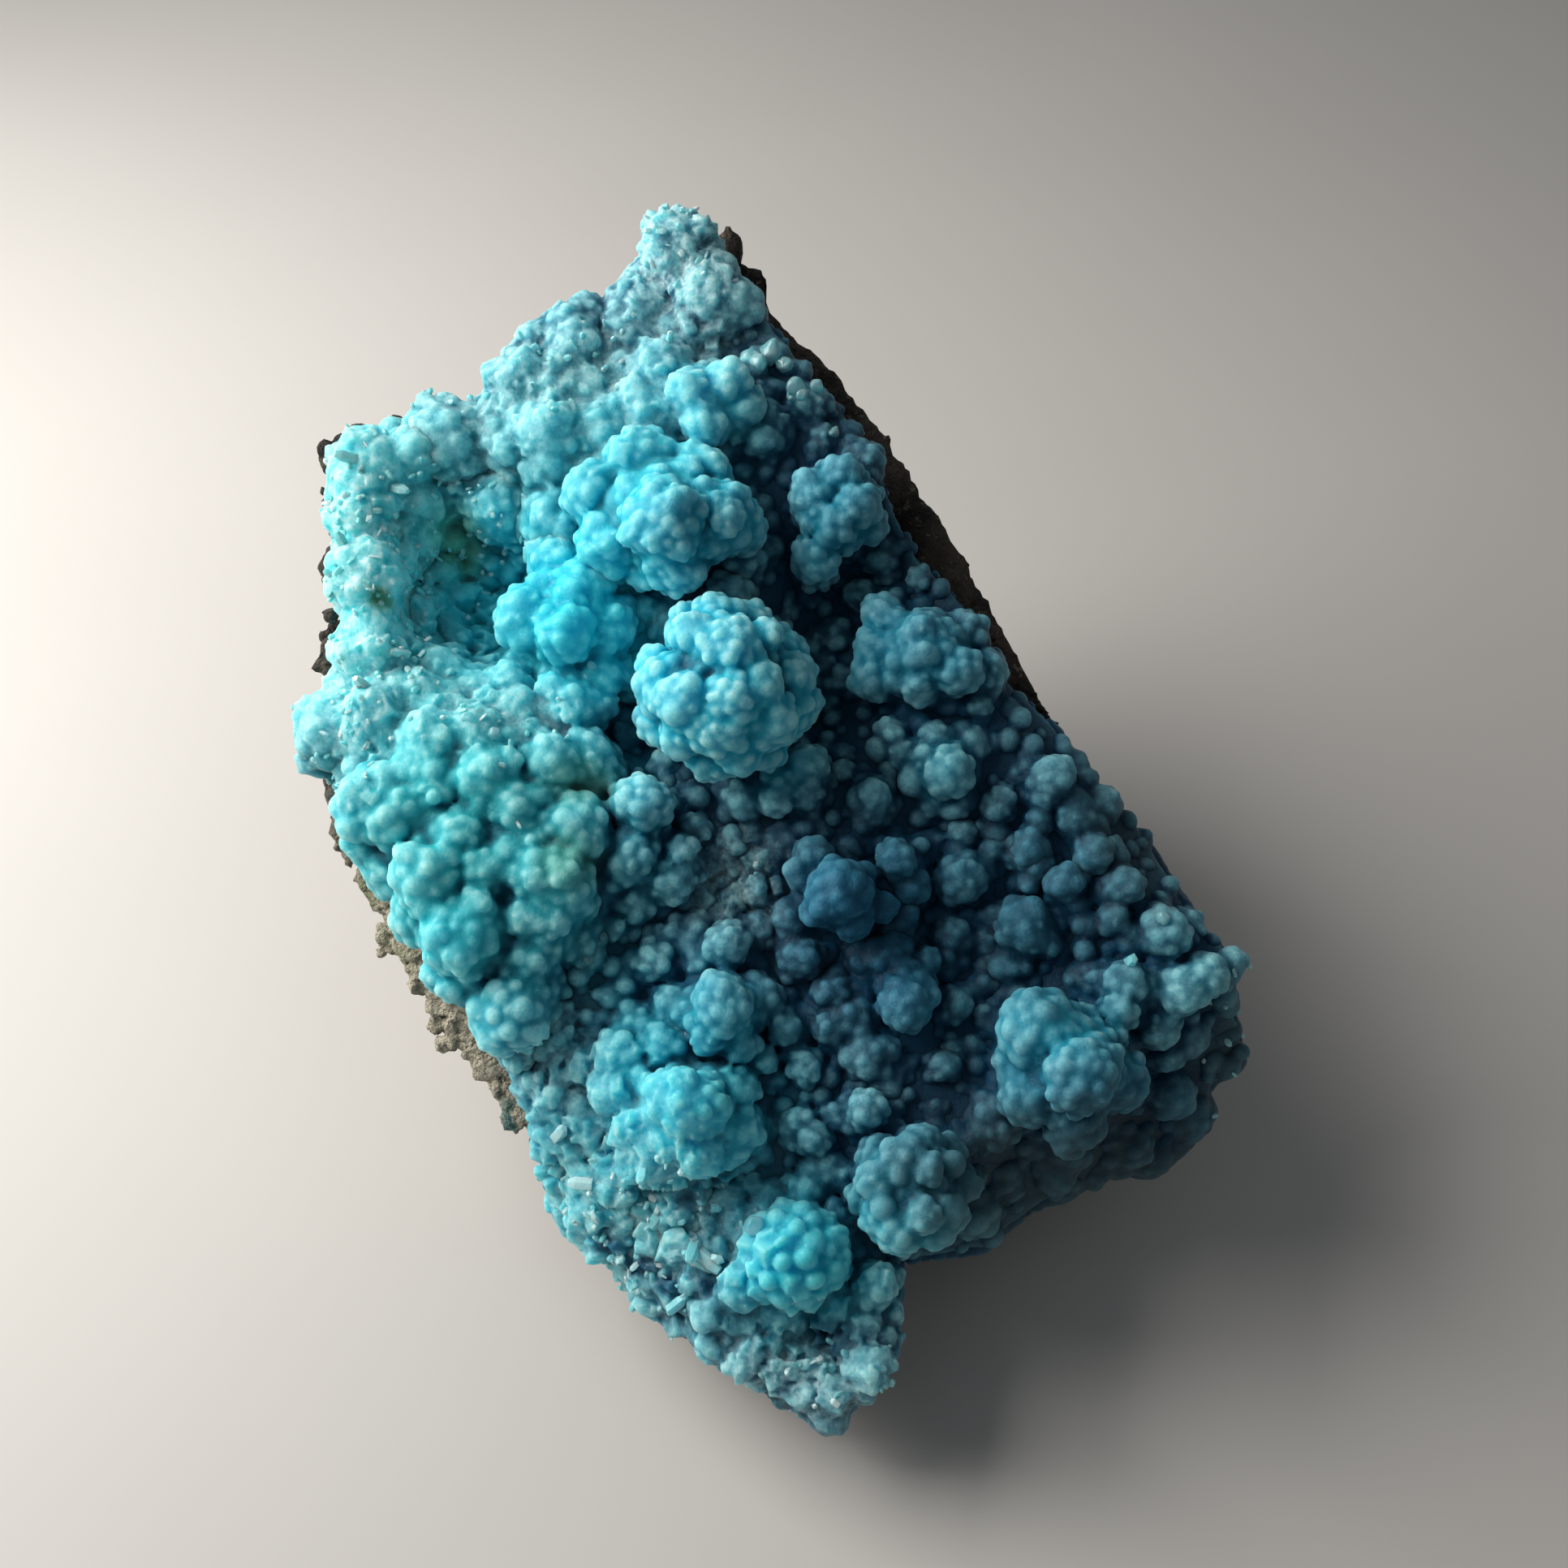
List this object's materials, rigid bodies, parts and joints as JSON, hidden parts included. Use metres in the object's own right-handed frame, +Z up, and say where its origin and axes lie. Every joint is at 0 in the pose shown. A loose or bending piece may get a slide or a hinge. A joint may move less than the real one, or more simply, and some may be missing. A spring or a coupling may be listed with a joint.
{
  "type": "gibbsite specimen",
  "caption": "Hand-sized gibbsite specimen: a blue-green crust of grown-together balls on a wedge of dark host rock.",
  "frame": {"origin": "on the resting surface, under the middle of the specimen's bounding box", "axes": "+Z up, +X to the right across the crusted face, +Y towards the face's raised end; the face leans back about 31 degrees from the resting surface"},
  "size_m": [0.0566, 0.0636, 0.0448],
  "materials": {
    "rock": "rough, broken",
    "crust": "waxy, slightly translucent"
  },
  "bodies": {
    "root": {"matrix_rock": "rock", "gibbsite_crust": "crust"}
  },
  "joints": []
}
